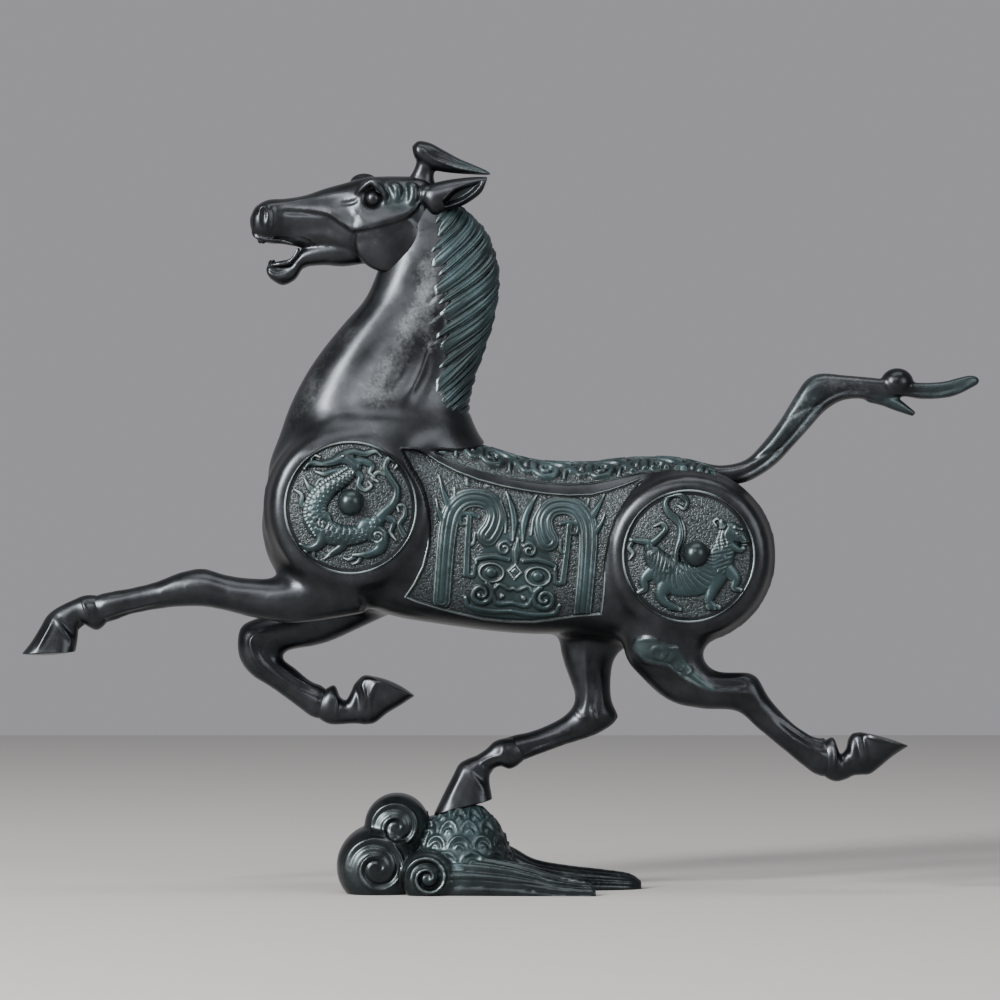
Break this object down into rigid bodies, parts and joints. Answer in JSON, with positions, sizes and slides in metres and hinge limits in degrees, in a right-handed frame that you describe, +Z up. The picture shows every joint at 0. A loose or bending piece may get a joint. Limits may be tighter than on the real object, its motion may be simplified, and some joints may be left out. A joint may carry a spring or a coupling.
{
  "type": "galloping horse ornament",
  "caption": "Cast brass ornament of a galloping horse with ridged mane, carved medallions and flank panels, its hind hoof set on a cloud-scroll base.",
  "frame": {"origin": "on the flat underside of the base, at the middle of the overall length", "axes": "+Z up, -X the way that the horse gallops, +X towards its tail, -Y its near (left) side"},
  "size_m": [0.4295, 0.0874, 0.338],
  "materials": {
    "blackened_brass": "blackened and waxed, with worn bright edges",
    "patinated_brass": "dark green-blue patina in the carving, rubbed on the raised parts"
  },
  "bodies": {
    "root": {"horse": "blackened_brass", "cloud_base": "patinated_brass"}
  },
  "joints": []
}
